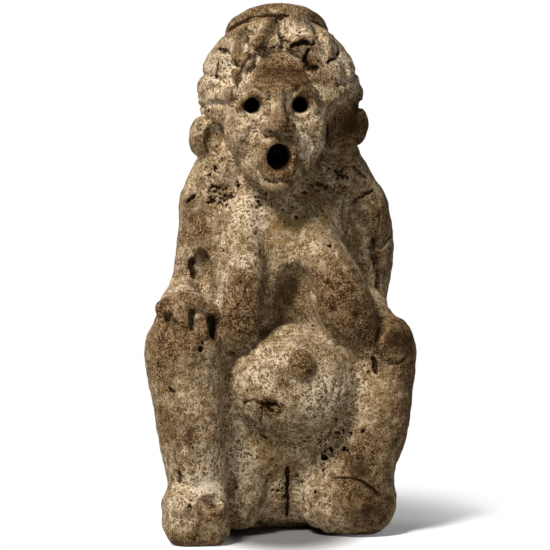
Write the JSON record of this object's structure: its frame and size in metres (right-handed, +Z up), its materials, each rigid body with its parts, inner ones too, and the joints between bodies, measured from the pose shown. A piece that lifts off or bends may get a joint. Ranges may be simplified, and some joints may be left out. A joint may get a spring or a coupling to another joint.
{
  "type": "figural libation vessel",
  "caption": "Hollow fired-clay pouring vessel shaped as a squatting figure, filled through a collar on the crown and poured through the open mouth.",
  "frame": {"origin": "centre of the whole vessel's box at the level it stands on", "axes": "+Z up; the figure looks along -Y, so its own right side is at -X"},
  "size_m": [0.1101, 0.0932, 0.21],
  "materials": {
    "cream_clay": "matte, pale coat over fired clay, pitted",
    "brown_clay": "matte, worn down to the brown clay",
    "dark_clay": "matte, darkened clay"
  },
  "bodies": {
    "root": {"base_slab": "brown_clay", "belly": "cream_clay", "body_back": "cream_clay", "body_front": "cream_clay", "face_front": "brown_clay", "filling_collar": "brown_clay", "head_back": "cream_clay", "left_breast": "brown_clay", "left_ear_lump": "dark_clay", "left_eye_rim": "brown_clay", "left_foot": "brown_clay", "left_forearm": "brown_clay", "left_lock_1": "cream_clay", "left_lock_2": "cream_clay", "left_lock_3": "cream_clay", "left_lock_4": "cream_clay", "left_shin": "cream_clay", "left_thigh": "cream_clay", "left_upper_arm": "cream_clay", "lip_ring": "brown_clay", "nape_roll": "cream_clay", "navel_boss": "brown_clay", "nose": "brown_clay", "right_breast": "brown_clay", "right_ear_lump": "dark_clay", "right_eye_rim": "brown_clay", "right_foot": "brown_clay", "right_forearm": "brown_clay", "right_lock_1": "cream_clay", "right_lock_2": "cream_clay", "right_lock_3": "cream_clay", "right_lock_4": "cream_clay", "right_shin": "cream_clay", "right_thigh": "cream_clay", "right_upper_arm": "cream_clay"}
  },
  "joints": []
}
